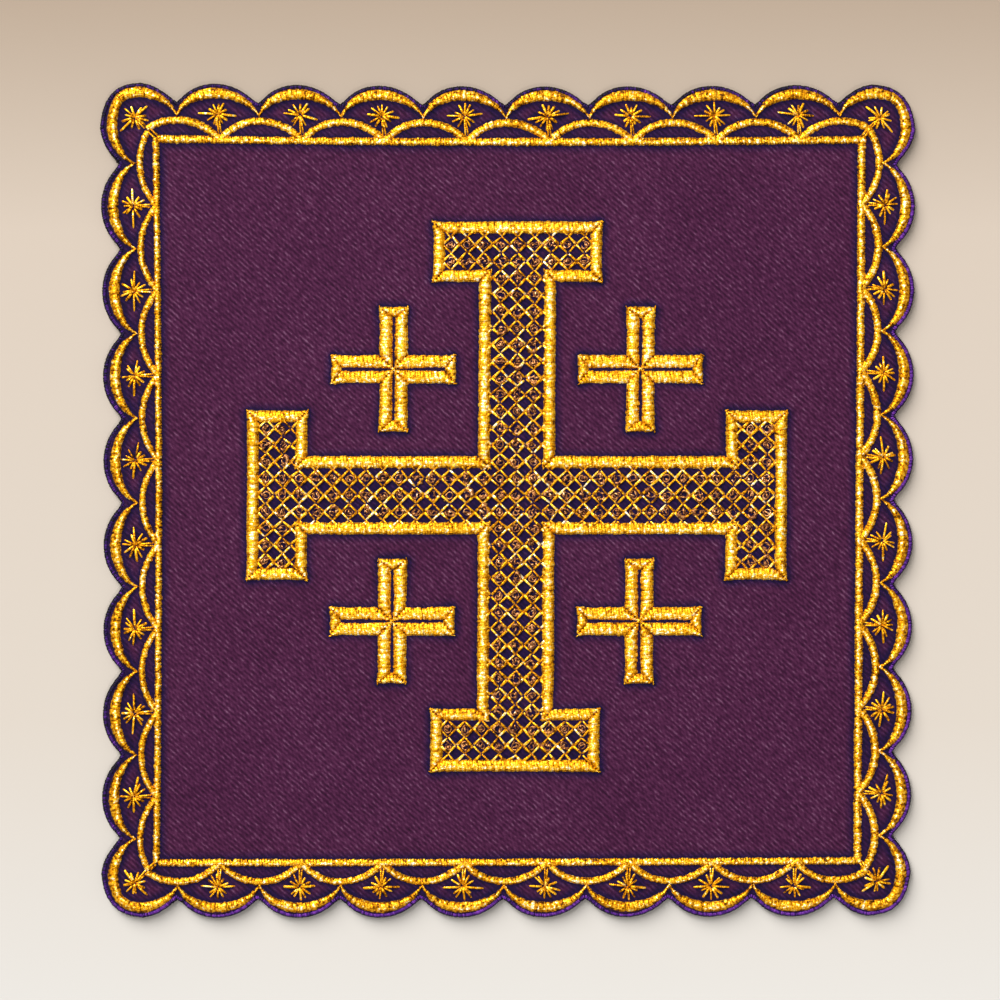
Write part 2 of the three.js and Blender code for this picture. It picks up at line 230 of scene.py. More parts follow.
def choose(obj, kind, wanted):
    """Selects those edges or points of an object in edit mode for which `wanted` is true."""
    bpy.ops.mesh.select_all(action="DESELECT")
    bpy.ops.mesh.select_mode(type=kind)
    mesh = bmesh.from_edit_mesh(obj.data)
    for part in mesh.edges if kind == "EDGE" else mesh.verts:
        part.select_set(wanted(part))
    bmesh.update_edit_mesh(obj.data)


def hand_over(obj, material, nodes=()):
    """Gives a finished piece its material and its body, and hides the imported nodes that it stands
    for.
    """
    obj.data.materials.clear()
    obj.data.materials.append(material)
    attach(obj, "root")
    if nodes:
        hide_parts(*nodes)
    triangles = sum(len(face.vertices) - 2 for face in obj.data.polygons)
    print(obj.name, "triangles:", triangles)


# %% Material helpers
THREAD_UV = "thread"  # the UV map of the stitches
SHADE = "shade"  # the attribute that holds how light each stitch is


def new_material(name):
    material = bpy.data.materials.new(name)
    material.use_nodes = True
    return material, material.node_tree, material.node_tree.nodes["Principled BSDF"]


def fill_inputs(tree, node, inputs):
    """Links each input whose value is a socket, and types in any other value."""
    for name, value in inputs.items():
        if isinstance(value, bpy.types.NodeSocket):
            tree.links.new(value, node.inputs[name])
        else:
            node.inputs[name].default_value = value


def add_node(tree, kind, inputs, output=0, **settings):
    """Adds a node and gives back one of its outputs."""
    node = tree.nodes.new(kind)
    for name, value in settings.items():
        setattr(node, name, value)
    fill_inputs(tree, node, inputs)
    return node.outputs[output]


def object_place(tree):
    return add_node(tree, "ShaderNodeTexCoord", {}, "Object")


def read_shade(tree):
    return add_node(tree, "ShaderNodeAttribute", {}, "Fac", attribute_name=SHADE)


def split(tree, vector):
    outputs = add_node(tree, "ShaderNodeSeparateXYZ", {"Vector": vector}).node.outputs
    return outputs["X"], outputs["Y"]


def add_noise(tree, vector, scale, detail=2.0, roughness=0.5):
    inputs = {"Vector": vector, "Scale": scale, "Detail": detail, "Roughness": roughness}
    return add_node(tree, "ShaderNodeTexNoise", inputs)


def add_bump(tree, height, strength, distance):
    inputs = {"Height": height, "Strength": strength, "Distance": distance}
    return add_node(tree, "ShaderNodeBump", inputs)


def map_range(tree, value, first, last, to_first=0.0, to_last=1.0):
    inputs = {"Value": value, "From Min": first, "From Max": last, "To Min": to_first,
              "To Max": to_last}
    return add_node(tree, "ShaderNodeMapRange", inputs)


def calculate(tree, operation, first, second=0.0, third=0.0):
    return add_node(tree, "ShaderNodeMath", {0: first, 1: second, 2: third}, operation=operation)


def linear(red, green, blue):
    """A colour as it looks on a screen, 0 to 255, as the light that Blender works with."""
    shares = (red / 255, green / 255, blue / 255)
    return tuple(s / 12.92 if s <= 0.04045 else ((s + 0.055) / 1.055) ** 2.4 for s in shares)


def add_ramp(tree, factor, stops):
    """A colour ramp from stops: a place from 0 to 1, and red, green and blue as on a screen."""
    colour = add_node(tree, "ShaderNodeValToRGB", {"Fac": factor})
    elements = colour.node.color_ramp.elements
    while len(elements) < len(stops):
        elements.new(0.5)
    for element, (place, *screen_colour) in zip(elements, stops):
        element.position = place
        element.color = (*linear(*screen_colour), 1.0)
    return colour


# %% [markdown]
# ## The twill
#
# Twill is woven so that its threads step one place sideways in every row, which draws fine ribs
# that fall from the upper left to the lower right. A rib is 0.83 mm wide, about four pixels of the
# photo, and it looks like a row of short light dashes with dark gaps between. Two sine waves make
# the ribs and the steps along them, and noise breaks both up, since yarn is never even. The same
# pattern lifts the surface a little, and a soft sheen stands for the nap. Beside the gold the
# cloth looks almost navy, so painted shade is mixed into the colour where an ambient occlusion
# node finds thread close by.

# %% Twill material
RIB_WIDTH = 0.83 * MM
RIB_FALL = math.radians(41)
RIB_WANDER, WANDER_SCALE = 2.2, 260.0
YARN_SCALE, YARN_STRETCH = 1900.0, 0.45
PATCH_SCALE = 60.0
RIB_SHARE, STEP_SHARE, YARN_SHARE, PATCH_SHARE = 0.12, 0.03, 0.8, 0.16
WEAVE_LEVEL = 0.04  # added to the four shares of the weave
STEP_LENGTH = 1.15 * MM
SHADED_WIDTH = 2.0 * MM  # how far from a stitch the painted shade reaches
SHADED_BELOW = 0.96  # share of open sky at which the painted shade is full


def make_twill():
    material, tree, shader = new_material("purple_twill")
    place = object_place(tree)
    along_ribs = add_node(tree, "ShaderNodeMapping", {"Vector": place, "Rotation": (0, 0, RIB_FALL)})
    wander = calculate(tree, "MULTIPLY", add_noise(tree, along_ribs, WANDER_SCALE), RIB_WANDER)
    x, y = split(tree, along_ribs)
    rib_phase = calculate(tree, "MULTIPLY_ADD", y, 2 * math.pi / RIB_WIDTH, wander)
    step_phase = calculate(tree, "MULTIPLY_ADD", x, 2 * math.pi / STEP_LENGTH, rib_phase)
    stretch = {"Vector": along_ribs, "Scale": (YARN_STRETCH, 1.0, 1.0)}
    yarn_place = add_node(tree, "ShaderNodeMapping", stretch)
    weave = WEAVE_LEVEL
    for part, share in (
        (calculate(tree, "SINE", rib_phase), RIB_SHARE),
        (calculate(tree, "SINE", step_phase), STEP_SHARE),
        (add_noise(tree, yarn_place, YARN_SCALE, roughness=0.6), YARN_SHARE),
        (add_noise(tree, place, PATCH_SCALE, detail=3.0), PATCH_SHARE),
    ):
        weave = calculate(tree, "MULTIPLY_ADD", part, share, weave)
    open_colour = add_ramp(
        tree, weave, [(0.16, 26, 0, 24), (0.44, 48, 10, 41), (0.66, 68, 27, 58), (0.9, 104, 72, 97)]
    )
    # Painted shade: the navy that the colour is mixed towards beside the thread.
    shaded_colour = add_ramp(tree, weave, [(0.2, 2, 0, 22), (0.9, 28, 7, 58)])
    openness = add_node(
        tree, "ShaderNodeAmbientOcclusion", {"Distance": SHADED_WIDTH}, "AO", samples=24
    )
    lit = map_range(tree, openness, SHADED_BELOW, 1.0)
    colour = add_node(
        tree, "ShaderNodeMixRGB", {"Fac": lit, "Color1": shaded_colour, "Color2": open_colour}
    )
    fill_inputs(tree, shader, {
        "Base Color": colour, "Roughness": 0.85, "Sheen Weight": 0.03, "Sheen Roughness": 0.5,
        "Specular IOR Level": 0.12, "Normal": add_bump(tree, weave, 0.5, 0.12 * MM),
    })
    return material


twill = make_twill()

# %% [markdown]
# ## The sheet
#
# The cloth lies flat, but it is rounded at the rim and puffs up a little between the rows of
# stitching. It starts as a grid that fills the inside of the frame line. The grid's edge is
# extruded once, out to the scalloped rim, and the new edges are subdivided into rings, so that
# the faces follow the scallops. Solidify gives it thickness, and the rim is then rounded and the
# face raised and sunk by code.

# %% Size and shape of the grid
FRAME_INSET = {"top": 11.35, "right": 10.75, "bottom": 11.4, "left": 11.6}
CELLS = 2 * HALF_STEPS * (LOBES + 1)
RINGS = 10
RIM_THREAD = 0.3  # the oversewing stands this far outside the sheet
RIM_ROUND = 0.5
RIM_CUTS = 3
TOUCHING = 0.01  # a point this close to a rim point belongs to it


def grid_lines(side, first_end, last_end):
    """Where the grid's lines meet a side: sixteen to a scallop, and eight at each corner."""
    last_notch = LOBES / 2 * PITCH[side]
    middle = np.linspace(-last_notch, last_notch, 2 * LOBES * HALF_STEPS + 1)
    before = np.linspace(-first_end, -last_notch, HALF_STEPS + 1)[:-1]
    after = np.linspace(last_notch, last_end, HALF_STEPS + 1)[1:]
    return np.concatenate([before, middle, after])


def grid_edge():
    """The grid's outer points, clockwise from its upper left corner."""
    steps = np.arange(CELLS)
    full, none = np.full(CELLS, CELLS), np.zeros(CELLS, int)
    columns = np.concatenate([steps, full, CELLS - steps, none])
    rows = np.concatenate([full, CELLS - steps, none, steps])
    return columns, rows


def outward(ring):
    """Directions out of a clockwise ring at its points."""
    return unit(-right_of(np.roll(ring, -1, axis=0) - np.roll(ring, 1, axis=0)))


def nearest(places, targets):
    """For each place, the number of the nearest target."""
    gaps = np.linalg.norm(places[:, None] - targets[None], axis=-1)
    return gaps.argmin(axis=1)


# %% Model the sheet
def model_sheet():
    start_fresh()
    bpy.ops.mesh.primitive_grid_add(x_subdivisions=CELLS, y_subdivisions=CELLS, size=CELLS)
    sheet = bpy.context.object
    sheet.name = sheet.data.name = "cloth"
    flat = np.array([vertex.co[:2] for vertex in sheet.data.vertices])
    index = np.rint(flat + CELLS / 2).astype(int)
    left, right = WIDTH / 2 - FRAME_INSET["left"], WIDTH / 2 - FRAME_INSET["right"]
    top, bottom = HEIGHT / 2 - FRAME_INSET["top"], HEIGHT / 2 - FRAME_INSET["bottom"]
    columns, rows = grid_lines("top", left, right), grid_lines("right", bottom, top)
    square = np.stack([columns[index[:, 0]], rows[index[:, 1]]], axis=-1)
    spots = (settle(square) - MIDDLE) * MM
    for vertex, spot in zip(sheet.data.vertices, spots):
        vertex.co = (*spot, 0)

    edge_columns, edge_rows = grid_edge()
    inner = (settle(np.stack([columns[edge_columns], rows[edge_rows]], axis=-1)) - MIDDLE) * MM
    outer = (whole_rim(RIM_THREAD) - MIDDLE) * MM
    bpy.ops.object.mode_set(mode="EDIT")
    choose(sheet, "EDGE", lambda edge: edge.is_boundary)
    bpy.ops.mesh.extrude_edges_move()
    mesh = bmesh.from_edit_mesh(sheet.data)
    moved = [vertex for vertex in mesh.verts if vertex.select]
    matched = nearest(np.array([vertex.co[:2] for vertex in moved]), inner)
    for vertex, number in zip(moved, matched):
        vertex.co.xy = outer[number]
    mesh.verts.index_update()
    new = {vertex.index for vertex in moved}
    choose(sheet, "EDGE", lambda edge: sum(vertex.index in new for vertex in edge.verts) == 1)
    bpy.ops.mesh.subdivide(number_cuts=RINGS - 1)
    bpy.ops.mesh.select_all(action="SELECT")
    bpy.ops.mesh.normals_make_consistent(inside=False)
    bpy.ops.object.mode_set(mode="OBJECT")
    solidify = sheet.modifiers.new("Solidify", "SOLIDIFY")
    solidify.thickness, solidify.offset = FACE * MM, 1.0
    bpy.ops.object.modifier_apply(modifier=solidify.name)
    return sheet, outer


def round_rim(sheet, outer):
    """Cuts the upright wall of the rim across and draws it into a half round."""
    bpy.ops.object.mode_set(mode="EDIT")
    choose(sheet, "EDGE", lambda edge: abs(edge.verts[0].co.z - edge.verts[1].co.z) > FACE * MM / 2)
    bpy.ops.mesh.subdivide(number_cuts=RIM_CUTS)
    bpy.ops.object.mode_set(mode="OBJECT")
    bpy.ops.object.shade_smooth()
    vertices = sheet.data.vertices
    places = np.array([vertex.co for vertex in vertices])
    out = outward(outer)
    reach = np.abs(places[:, :2]).max(axis=1)
    near = np.flatnonzero(reach > (WIDTH / 2 - FRAME_INSET["left"]) * MM)
    number = nearest(places[near, :2], outer)
    gap = np.linalg.norm(places[near, :2] - outer[number], axis=1)
    on_rim = gap < TOUCHING * MM
    near, number = near[on_rim], number[on_rim]
    sunk = np.sin(math.pi * places[near, 2] / (FACE * MM)) - 1
    moved = places[near, :2] + out[number] * (RIM_ROUND * MM * sunk)[:, None]
    for i, spot in zip(near, moved):
        vertices[i].co.xy = spot


sheet, rim_line = model_sheet()
round_rim(sheet, rim_line)
print("sheet:", len(sheet.data.vertices), "points")

# %% [markdown]
# The stitching draws the cloth down beside each row and lets it puff up between the rows, so the
# face isn't quite level. Smooth noise raises and sinks the middle of the cloth by less than a
# fifth of a millimetre, and the back stays flat on the table.

# %% Raise and sink the face
PUFF = 0.14
PUFF_SIZE = 9.0
FACE_SHARE = 0.9  # points above this share of the thickness are on the face

for vertex in sheet.data.vertices:
    if vertex.co.z > FACE_SHARE * FACE * MM:
        spot = Vector((vertex.co.x, vertex.co.y, 0)) / (PUFF_SIZE * MM)
        vertex.co.z += PUFF * MM * noise.noise(spot)
hand_over(sheet, twill, ["panel"])

# %% [markdown]
# ## One thread
#
# A stitch is a short length of thread that bows up out of the cloth and dives back in. It is
# modelled once, as a six-sided rod one unit long whose long edges are subdivided and whose two
# ends are drawn in. Each stitch is a copy of it, bent and stretched from one needle hole to the
# other. A rod has a few dozen faces, so thousands of stitches stay light.

# %% Model one thread
THREAD_CUTS = 4
END_TAPER = 0.8
ROD_END = 0.49  # the rod's ends lie beyond this on both sides of its middle


def model_thread():
    start_fresh()
    bpy.ops.mesh.primitive_cylinder_add(
        vertices=6, radius=0.5, depth=1.0, end_fill_type="NGON", rotation=(0, math.pi / 2, 0)
    )
    rod = bpy.context.object
    bpy.ops.object.transform_apply(location=True, rotation=True, scale=True)
    bpy.ops.object.mode_set(mode="EDIT")
    choose(rod, "EDGE", lambda edge: abs(edge.verts[0].co.x - edge.verts[1].co.x) > ROD_END)
    bpy.ops.mesh.subdivide(number_cuts=THREAD_CUTS)
    choose(rod, "VERT", lambda vertex: abs(vertex.co.x) > ROD_END)
    bpy.ops.transform.resize(value=(1, END_TAPER, END_TAPER))
    bpy.ops.object.mode_set(mode="OBJECT")
    return rod


def take_mesh(obj):
    """The points and faces of an object, which is removed."""
    points = np.array([vertex.co for vertex in obj.data.vertices])
    faces = [list(face.vertices) for face in obj.data.polygons]
    bpy.data.objects.remove(obj)
    return points, faces


# The share along the rod, and the places across and up in thread widths.
rod_points, ROD_FACES = take_mesh(model_thread())
ALONG, ACROSS, UP = rod_points[:, 0] + 0.5, rod_points[:, 1], rod_points[:, 2]
print("thread:", len(rod_points), "points,", len(ROD_FACES), "faces")

# %% [markdown]
# A batch of stitches is kept as numbers: where each point of each copy lies, how far along its
# thread and round it that is, and its shade. The shade is one random value for the whole stitch,
# with a painted highlight added where a satin stitch tips towards the foot of the pall, because the
# photograph shows a pale line along the rows there. `sew` turns batches into one mesh. The
# place along and round the thread becomes its UV map, and the shade an attribute, and the gold
# material reads both.

# %% Lay copies of a thread
random = np.random.default_rng(7)
LONGEST_START = 40  # the gold's winding starts anywhere on this many millimetres of thread


def shade_of(count, mean, spread):
    return np.clip(random.normal(mean, spread, count), 0, 1)


def bent(centre, across, up, shade):
    """Copies of the thread bent along `centre`, given at each of its points.

    These are arrays of stitches by points by three, and `shade` is one of stitches by points, or
    by one where it is the same all along each stitch.
    """
    spots = centre + across * ACROSS[None, :, None] + up * UP[None, :, None]
    length = np.linalg.norm(centre.max(axis=1) - centre.min(axis=1), axis=1)
    start = random.uniform(0, LONGEST_START, len(centre))
    u = start[:, None] + ALONG[None] * length[:, None]
    v = np.broadcast_to(np.arctan2(UP, ACROSS) / (2 * math.pi), u.shape)
    shade = np.broadcast_to(shade, u.shape)
    return {"faces": ROD_FACES, "spots": spots, "uv": np.stack([u, v], axis=-1), "shade": shade}


BOW_POWER = 2.2  # two would be a parabola
PAINTED_HIGHLIGHT_SLOPE = 0.22  # slope towards the foot of the pall at which the painted highlight on a satin stitch is strongest
PAINTED_HIGHLIGHT_SPREAD = 0.2


def flat_stitches(start, end, width, shade, rise=0.45, thick=0.28, crown=0.5, end_width=None,
                  base=FACE, sink=0.12, painted_streak=0.0):
    """Stitches from `start` to `end` on the cloth's face. `crown` is where each is highest."""
    s = ALONG[None, :]
    width = np.broadcast_to(width, len(start))[:, None]
    end_width = width if end_width is None else end_width
    rise = np.broadcast_to(rise, len(start))[:, None]
    side = 2 * s ** (math.log(0.5) / math.log(crown)) - 1
    bow = 1 - np.abs(side) ** BOW_POWER
    height = base + rise * bow - (sink + thick / 2) * (1 - bow)
    plane = start[:, None] * (1 - s[..., None]) + end[:, None] * s[..., None]
    centre = np.concatenate([plane, height[..., None]], axis=-1)
    reach = end - start
    span = np.maximum(np.linalg.norm(reach, axis=1, keepdims=True), 1e-9)
    reach = reach / span
    fall = BOW_POWER * rise * np.sign(side) * np.abs(side) ** (BOW_POWER - 1) * 2 / span
    # Painted highlight: lighter where the stitch slopes down towards the foot of the pall.
    pale = np.exp(-(((fall + reach[:, 1:] * PAINTED_HIGHLIGHT_SLOPE) / PAINTED_HIGHLIGHT_SPREAD) ** 2))
    sideways = np.stack([-reach[:, 1], reach[:, 0], np.zeros(len(reach))], axis=-1)
    across = sideways[:, None] * (width * (1 - s) + end_width * s)[..., None]
    up = np.broadcast_to(np.array([0.0, 0.0, thick]), centre.shape)
    return bent(centre, across, up, shade[:, None] + painted_streak * pale)


def sew(name, batches):
    """Makes one mesh of all the batches' copies, in metres."""
    points, uvs, shades, loops, starts = [], [], [], [], []
    offset = loop_offset = 0
    for batch in batches:
        faces = batch["faces"]
        count, per_copy = batch["spots"].shape[:2]
        corners = np.concatenate([np.array(face) for face in faces])
        sizes = np.array([len(face) for face in faces])
        copies = np.arange(count)[:, None]
        loops.append((corners[None] + copies * per_copy + offset).ravel())
        first = np.concatenate([[0], np.cumsum(sizes)[:-1]])
        starts.append((first[None] + copies * len(corners) + loop_offset).ravel())
        points.append(batch["spots"].reshape(-1, 3))
        uvs.append(batch["uv"][:, corners].reshape(-1, 2))
        shades.append(batch["shade"].ravel())
        offset += count * per_copy
        loop_offset += count * len(corners)
    mesh = bpy.data.meshes.new(name)
    mesh.vertices.add(offset)
    mesh.loops.add(loop_offset)
    starts = np.concatenate(starts)
    mesh.polygons.add(len(starts))
    mesh.vertices.foreach_set("co", (np.concatenate(points) * MM).astype(np.float32).ravel())
    mesh.loops.foreach_set("vertex_index", np.concatenate(loops).astype(np.int32))
    mesh.polygons.foreach_set("loop_start", starts.astype(np.int32))
    mesh.polygons.foreach_set("use_smooth", np.ones(len(starts), bool))
    layer = mesh.uv_layers.new(name=THREAD_UV)
    layer.uv.foreach_set("vector", np.concatenate(uvs).astype(np.float32).ravel())
    attribute = mesh.attributes.new(SHADE, "FLOAT", "POINT")
    attribute.data.foreach_set("value", np.concatenate(shades).astype(np.float32))
    mesh.update()
    mesh.validate()
    obj = bpy.data.objects.new(name, mesh)
    bpy.context.scene.collection.objects.link(obj)
    return obj


# %% [markdown]
# ## The gold thread
#
# Metallised thread is a strip of foil wound round a core, so it glitters in specks. Fine noise
# paints them into the colour: painted white glints, and orange and brown specks that stand both
# for the core showing and for painted shade where the foil turns away. The colour comes from the
# stitch's shade value, which carries the painted highlights of the satin rows, and from that noise
# together, and the foil's winding is a bump of slanting stripes across the thread's UV map. On the
# crescents and the frame the gold is darker and its specks differ more, and the fine thread of
# the loops is duller and browner.

# %% Gold thread material
SPECK_SIZE = 0.6 * MM
WINDS_PER_MM = 2.6
SHADE_SHARE, WINDING_SHARE = 0.5, 0.04  # of the stitch's shade and of the winding in the colour
SPECK_RELIEF = 1.6  # height of the specks, in heights of the winding


def make_gold(name, brightness, contrast, stops):
    material, tree, shader = new_material(name)
    speck = add_noise(tree, object_place(tree), 1 / SPECK_SIZE, detail=1.5, roughness=0.6)
    x, y = split(tree, add_node(tree, "ShaderNodeUVMap", {}, uv_map=THREAD_UV))
    round_thread = calculate(tree, "MULTIPLY", y, 2 * math.pi)
    wound = calculate(tree, "MULTIPLY_ADD", x, 2 * math.pi * WINDS_PER_MM, round_thread)
    winding = calculate(tree, "SINE", wound)
    mixed = calculate(tree, "SUBTRACT", speck, 0.5)
    mixed = calculate(tree, "MULTIPLY_ADD", mixed, contrast, brightness)
    mixed = calculate(tree, "MULTIPLY_ADD", read_shade(tree), SHADE_SHARE, mixed)
    mixed = calculate(tree, "MULTIPLY_ADD", winding, WINDING_SHARE, mixed)
    height = calculate(tree, "MULTIPLY_ADD", speck, SPECK_RELIEF, winding)
    fill_inputs(tree, shader, {
        "Base Color": add_ramp(tree, mixed, stops), "Metallic": 0.68, "Specular IOR Level": 0.1,
        "Roughness": map_range(tree, speck, 0.3, 0.7, 0.5, 0.3),
        "Normal": add_bump(tree, height, 0.3, 0.05 * MM),
    })
    return material


# The white end of these ramps paints glints, and the dark end paints shade as well as the core's
# brown.
BRIGHT_STOPS = [
    (0.02, 78, 46, 10), (0.24, 182, 112, 6), (0.48, 238, 166, 12), (0.72, 255, 204, 60),
    (0.92, 255, 246, 212),
]
DULL_STOPS = [
    (0.05, 58, 30, 26), (0.3, 124, 76, 44), (0.55, 186, 124, 70), (0.8, 232, 180, 122),
    (0.95, 255, 238, 214),
]

gold = make_gold("gold_thread", 0.23, 1.7, BRIGHT_STOPS)
# A darker gold whose painted glints and shade differ more, for the crescents and the frame.
darker_speckled_gold = make_gold("darker_speckled_gold_thread", 0.2, 2.0, BRIGHT_STOPS)
net_gold = make_gold("gold_net_thread", 0.24, 1.8, BRIGHT_STOPS)
dull_gold = make_gold("dull_gold_thread", 0.35, 1.7, DULL_STOPS)

# %% [markdown]
# ## Satin rows
#
# A satin row is a line of stitches side by side, each crossing the whole width of the row. The
# stitches under it run along the row and pad it out, and they also close the small gaps, where
# their dark colour is painted shade. The needle never falls in quite the same place, so each end
# is moved a little at random.

# %% Helpers for satin rows
STITCH_GAP = 0.55
STITCH_WIDTH = 0.95
NEEDLE_WANDER = 0.06
PADDING_STITCH = 2.6
PADDING_OVERLAP = 1.24  # length of a padding stitch in steps from one to the next
PADDING_WIDTH = 0.8  # in widths of the row
PADDING_RISE = 0.5  # in rises of the row
# Painted shade: the padding is coloured dark, standing for the shade between the stitches above it.
PADDING_SHADE = 0.12
SATIN_THREAD = 0.2
# Strength of the painted highlight on satin stitches.
PAINTED_STREAK = 0.75
SHADE_SPREAD = 0.18
FULL_HALF_WIDTH = 0.7  # a row narrower than twice this is also lower


def walk(line, gap):
    """Even places along a line: points, directions and the share of the way."""
    run = distances(line)
    count = max(1, round(run[-1] / gap))
    share = (np.arange(count) + 0.5) / count
    at = share * run[-1]
    slope = np.gradient(line, run, axis=0)
    points = np.stack([np.interp(at, run, line[:, k]) for k in (0, 1)], axis=-1)
    along = np.stack([np.interp(at, run, slope[:, k]) for k in (0, 1)], axis=-1)
    return points, unit(along), share


def widths(width, share):
    """A row's width, a number or a function, at shares of the way along the row."""
    return width(share) if callable(width) else np.full(len(share), width)


def wandered(points, amount=NEEDLE_WANDER):
    return points + random.normal(0, amount, points.shape)


def satin(line, width, mean, rise, slant=0.0, crown=0.5):
    """Batches of a satin row along a line."""
    points, along, share = walk(line, STITCH_GAP)
    inward = right_of(along)
    half = widths(width, share)[:, None] / 2
    start = wandered(points - half * (inward + slant * along))
    end = wandered(points + half * (inward + slant * along))
    count = len(points)
    thickness = STITCH_WIDTH * random.uniform(0.85, 1.12, count)
    height = rise * random.uniform(0.8, 1.15, count) * np.clip(half[:, 0] / FULL_HALF_WIDTH, 0.4, 1)
    top = flat_stitches(start, end, thickness, shade_of(count, mean, SHADE_SPREAD), height,
                        thick=SATIN_THREAD, crown=crown, painted_streak=PAINTED_STREAK)
    return [top, padding(line, width, rise)]


def padding(line, width, rise):
    """The stitches under a satin row of this width and rise, which run along it."""
    points, along, share = walk(line, PADDING_STITCH)
    half = along * distances(line)[-1] / len(points) * PADDING_OVERLAP / 2
    broad = widths(width, share) * PADDING_WIDTH
    shade = np.full(len(points), PADDING_SHADE)
    thick = PADDING_RISE * rise
    return flat_stitches(points - half, points + half, broad, shade, thick, thick, sink=0.0,
                         base=FACE - thick / 2)


# %% [markdown]
# ## The oversewn rim
#
# The cut edge is oversewn with violet thread. Each stitch comes up through the face, goes over
# the edge and down through the back, a little further along. So a stitch is the same thread bent
# into a C round the edge. The thread is smooth and blue violet, with darker stitches here and
# there. Its colour also holds painted light, lighter along the right and lower rim, and painted
# shade where it turns over the edge.

# %% Violet thread material
FIBRE_SCALE, FIBRE_SHARE = 2600.0, 0.7


def make_violet():
    material, tree, shader = new_material("violet_thread")
    fibre = add_noise(tree, object_place(tree), FIBRE_SCALE)
    mixed = calculate(tree, "MULTIPLY_ADD", fibre, FIBRE_SHARE, -FIBRE_SHARE / 2)
    mixed = calculate(tree, "ADD", mixed, read_shade(tree))
    colour = add_ramp(
        tree, mixed, [(0.0, 10, 6, 14), (0.2, 16, 6, 44), (0.5, 60, 20, 104), (0.9, 116, 56, 160)]
    )
    fill_inputs(tree, shader, {
        "Base Color": colour, "Roughness": 0.6, "Specular IOR Level": 0.15,
        "Normal": add_bump(tree, fibre, 0.4, 0.04 * MM),
    })
    return material


violet = make_violet()

# %% Oversew the rim
OVERSEW_GAP = 0.34
OVERSEW_WIDTH = 0.42
OVERSEW_THREAD = 0.26  # thickness of the thread where it lies on the edge
OVERSEW_REACH = 0.66  # from the middle of the C outwards to its thread
OVERSEW_MIDDLE = -0.74  # from the rim to the middle of the C
OVERSEW_HEIGHT = 1.07  # from the table to the middle of the C
OVERSEW_TURN = math.radians(103)  # from the edge to each end of a stitch
OVERSEW_SLANT, OVERSEW_WANDER = 0.3, 0.05
RIM_SHADE, RIM_PAINTED_LIGHT = 0.44, 0.34  # painted light: lighter along the right and lower rim than opposite
RIM_SHADOW, RIM_SHADOW_START = 0.9, 0.5  # painted shade: the thread is darkened where it turns down over the edge


def oversew_rim():
    closed = np.vstack([rim, rim[:1]]) - MIDDLE
    points, along, _ = walk(closed, OVERSEW_GAP)
    count = len(points)
    out = -right_of(along)
    angle = OVERSEW_TURN * (1 - 2 * ALONG)[None] * random.uniform(0.93, 1.04, (count, 1))
    reach = OVERSEW_REACH * random.uniform(0.95, 1.05, (count, 1))
    away = OVERSEW_MIDDLE + reach * np.cos(angle)
    height = OVERSEW_HEIGHT + (OVERSEW_HEIGHT - OVERSEW_THREAD / 2) * np.sin(angle)
    slid = OVERSEW_SLANT * np.sin(angle) + random.normal(0, OVERSEW_WANDER, (count, 1))
    flat = points[:, None] + out[:, None] * away[..., None] + along[:, None] * slid[..., None]
    centre = np.concatenate([flat, height[..., None]], axis=-1)
    level = np.zeros((*flat.shape[:2], 1))
    across = np.broadcast_to(along[:, None], flat.shape)
    across = np.concatenate([across, level], axis=-1) * OVERSEW_WIDTH
    outwards = out[:, None] * np.cos(angle)[..., None]
    up = np.concatenate([outwards, np.sin(angle)[..., None]], axis=-1) * OVERSEW_THREAD
    # Painted light makes the rim thread lighter on the right and lower sides, and painted shade
    # darkens it where it turns over the edge.
    shade = RIM_SHADE + RIM_PAINTED_LIGHT * (out[:, 0] - out[:, 1]) / 2
    shadow = RIM_SHADOW * np.clip((np.cos(angle) - RIM_SHADOW_START) / (1 - RIM_SHADOW_START), 0, 1)
    return bent(centre, across, up, shade_of(count, shade, 0.12)[:, None] - shadow)


oversewing = sew("oversewn_rim", [oversew_rim()])
hand_over(oversewing, violet)

# %% [markdown]
# ## Crescents
#
# Each scallop is filled by a crescent: wide at its top, and drawn out to a point at each notch,
# where it meets its neighbour and the arch below. Its middle line runs between two arcs, and its
# width there is how far they are apart. At a corner one crescent runs round both half scallops.

# %% Sew the crescents
CRESCENT_INSET = {"top": 0.7, "right": 0.75, "bottom": 0.95, "left": 1.35}
CRESCENT_WIDTH = 2.45
CRESCENT_OUTER_DIP = 4.85
CRESCENT_INNER_DIP = 3.1
CUSP_REACH = 0.6  # the points of the crescents reach this much further in than the arcs
CUSP_SHARPNESS = 9
CORNER_SPREAD, CORNER_SMOOTHING = 9, 30  # as CORNER_REACH and CORNER_ROUNDS for the rim
CRESCENT_POINTS, HALF_CRESCENT_POINTS = 41, 25
CRESCENT_SHADE, CRESCENT_RISE, CRESCENT_CROWN = 0.28, 0.55, 0.58


def crescent_edges(side, centre, span, offset):
    """Outer and inner edge of a crescent at offsets from its top."""
    reach = CRESCENT_INSET[side] + CUSP_REACH * np.abs(offset / span) ** CUSP_SHARPNESS
    outer = reach + arc_drop(arc_radius(span, CRESCENT_OUTER_DIP), offset)
    inner = reach + CRESCENT_WIDTH + arc_drop(arc_radius(span, CRESCENT_INNER_DIP), offset)
    return [on_side(side, centre + offset, inset) - MIDDLE for inset in (outer, inner)]


def crescent(outer, inner):
    """A satin row between two edges, given at matching points."""
    middle = (outer + inner) / 2
    inward = right_of(unit(np.gradient(middle, axis=0)))
    across = np.abs(((inner - outer) * inward).sum(axis=1))
    share = distances(middle) / distances(middle)[-1]
    return satin(middle, lambda at: np.interp(at, share, across), CRESCENT_SHADE, CRESCENT_RISE,
                 crown=CRESCENT_CROWN)


